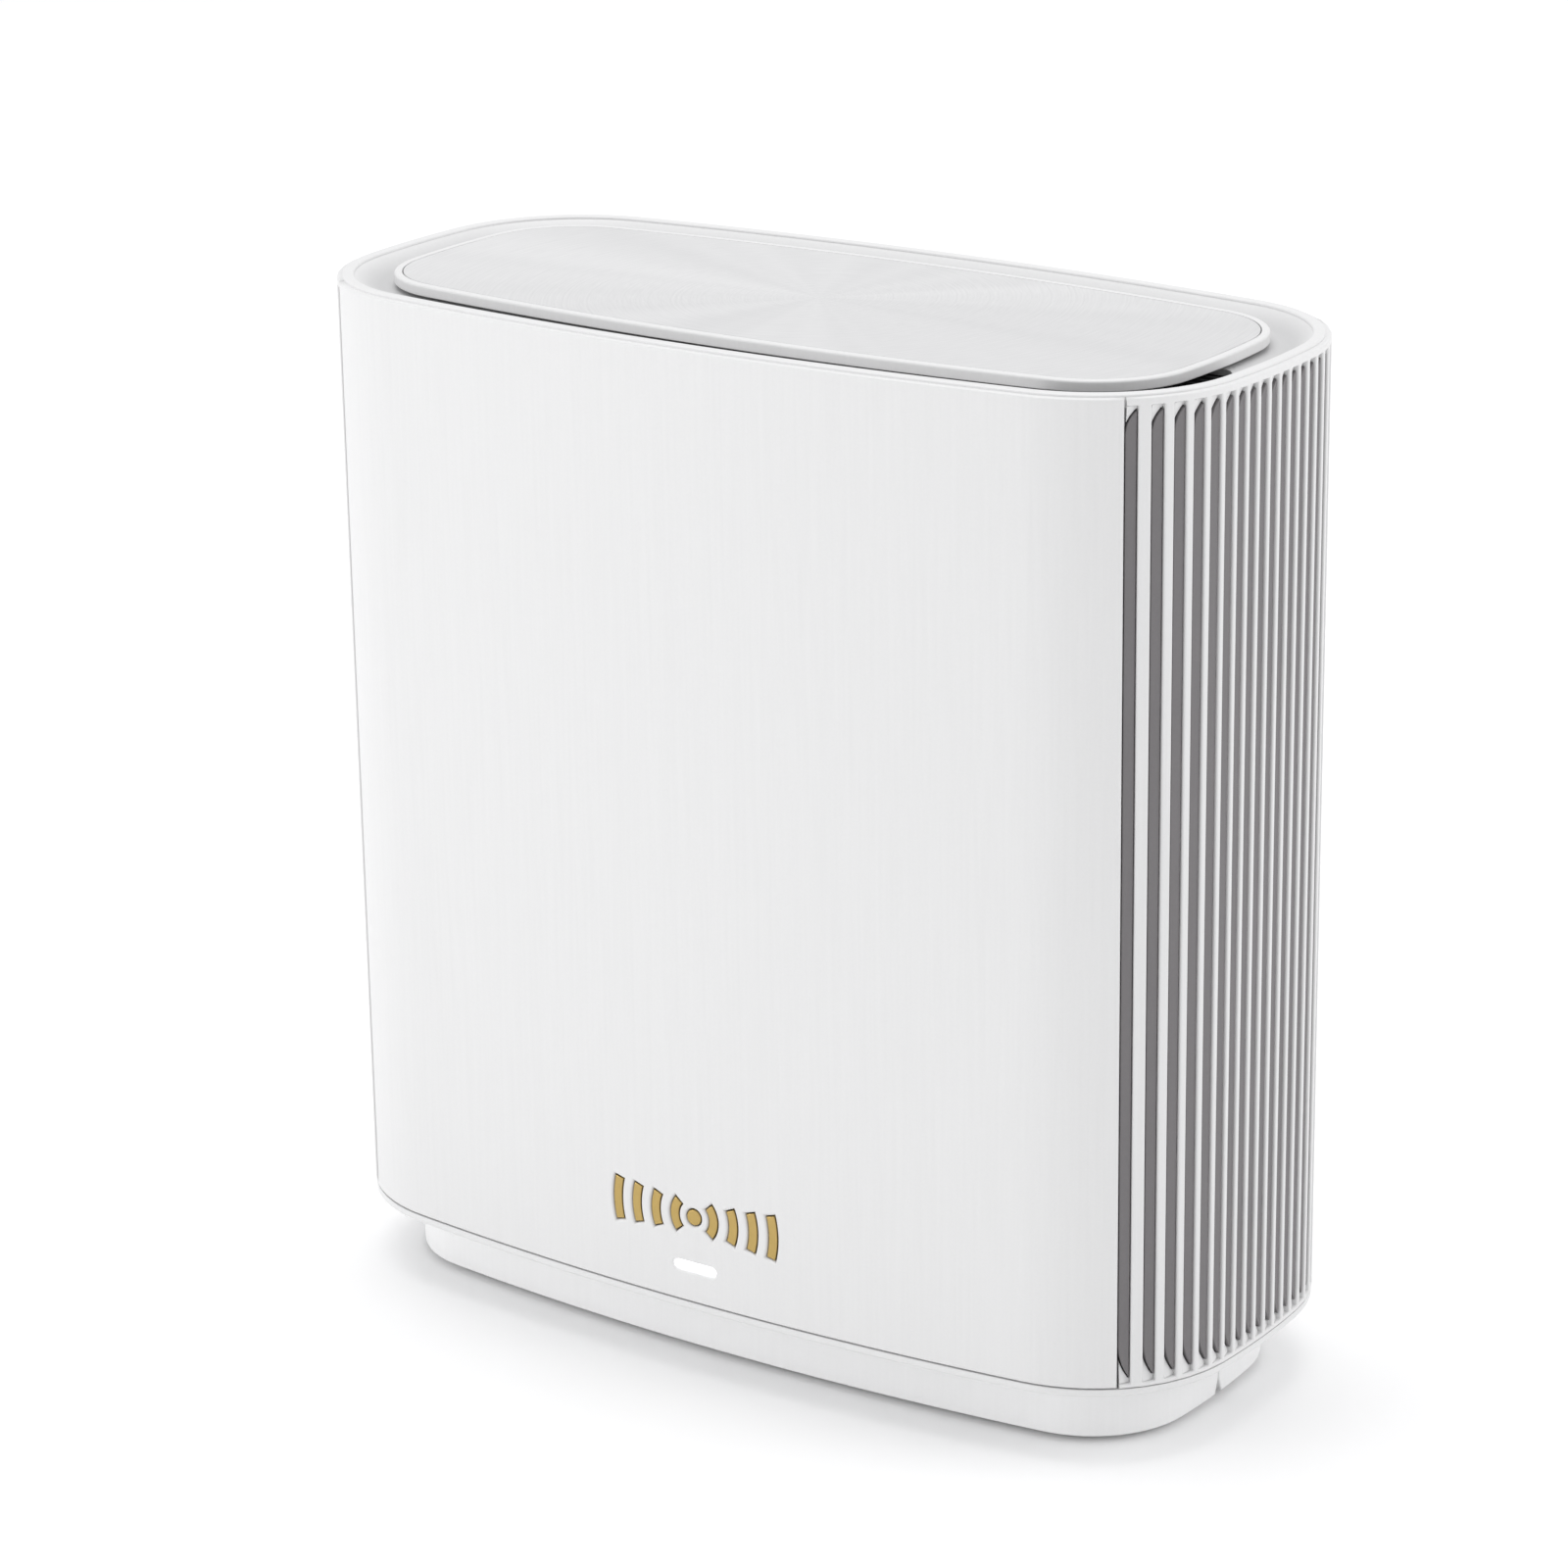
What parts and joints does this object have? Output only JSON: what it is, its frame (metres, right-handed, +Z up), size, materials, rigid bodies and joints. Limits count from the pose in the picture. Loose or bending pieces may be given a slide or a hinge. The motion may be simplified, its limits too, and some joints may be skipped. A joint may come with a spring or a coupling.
{
  "type": "wireless router",
  "caption": "Upright slim wireless router with bowed covers, slotted side grilles, a floating lid over a ring vent, a recessed plinth, a rear port bay and press buttons.",
  "frame": {"origin": "on the table, under the middle of the body", "axes": "+X along the wide front towards the right end, -Y out of the front face with the mark, +Z up"},
  "size_m": [0.16, 0.075, 0.165],
  "materials": {
    "satin_white": "satin moulded white plastic with a faint upright brushed grain",
    "spun_lid": "light grey, finely spun in circles",
    "liner_grey": "matt dark grey",
    "bay_black": "fine matt black moulding",
    "gold": "satin gold plate",
    "light_white": "frosted clear white",
    "foot_rubber": "matt grey rubber",
    "board_green": "solder mask over glass fibre board",
    "sink_metal": "bare extruded aluminium",
    "can_metal": "tinned sheet",
    "pad_blue": "soft silicone",
    "screw_steel": "zinc plated",
    "antenna_copper": "etched copper on a thin board"
  },
  "bodies": {
    "housing": {"front_cover": "satin_white", "rear_cover": "satin_white", "side_grille_right": "satin_white", "side_grille_left": "satin_white", "top_deck": "satin_white", "lid_frame": "satin_white", "plinth_front": "satin_white", "plinth_rear": "satin_white", "bottom_plate": "satin_white", "base_deck": "satin_white", "lid_plate": "spun_lid", "grille_liner_right": "liner_grey", "grille_liner_left": "liner_grey", "port_bay": "bay_black", "wan_jack": "bay_black", "lan_jack_1": "bay_black", "lan_jack_2": "bay_black", "lan_jack_3": "bay_black", "power_inlet": "bay_black", "power_switch": "bay_black", "pairing_switch": "bay_black", "reset_switch": "bay_black", "inner_frame": "bay_black", "front_mark": "gold", "light_guide": "light_white", "foot_1": "foot_rubber", "foot_2": "foot_rubber", "foot_3": "foot_rubber", "foot_4": "foot_rubber", "main_board": "board_green", "key_board": "board_green", "light_board": "board_green", "front_heat_sink": "sink_metal", "rear_heat_sink": "sink_metal", "front_shield": "can_metal", "rear_shield": "can_metal", "usb_port": "can_metal", "front_thermal_pad": "pad_blue", "rear_thermal_pad": "pad_blue", "lid_screw_1": "screw_steel", "lid_screw_2": "screw_steel", "lid_screw_3": "screw_steel", "lid_screw_4": "screw_steel", "case_screw_1": "screw_steel", "case_screw_2": "screw_steel", "case_screw_3": "screw_steel", "case_screw_4": "screw_steel", "board_screw_1": "screw_steel", "board_screw_2": "screw_steel", "board_screw_3": "screw_steel", "board_screw_4": "screw_steel", "antenna_1": "antenna_copper", "antenna_2": "antenna_copper", "antenna_3": "antenna_copper", "antenna_4": "antenna_copper"},
    "power_key": {"power_button": "bay_black"},
    "pairing_key": {"pairing_button": "spun_lid"},
    "reset_key": {"reset_button": "bay_black"}
  },
  "joints": [
    {"name": "power_button_press", "type": "slide", "parent": "housing", "child": "power_key", "axis": [0, -1, 0], "range_m": [0, 0.0022], "stiffness_N_per_m": 900},
    {"name": "pairing_button_press", "type": "slide", "parent": "housing", "child": "pairing_key", "axis": [0, 0, 1], "range_m": [0, 0.0006], "stiffness_N_per_m": 1500},
    {"name": "reset_button_press", "type": "slide", "parent": "housing", "child": "reset_key", "axis": [0, 0, 1], "range_m": [0, 0.0005], "stiffness_N_per_m": 1500}
  ]
}
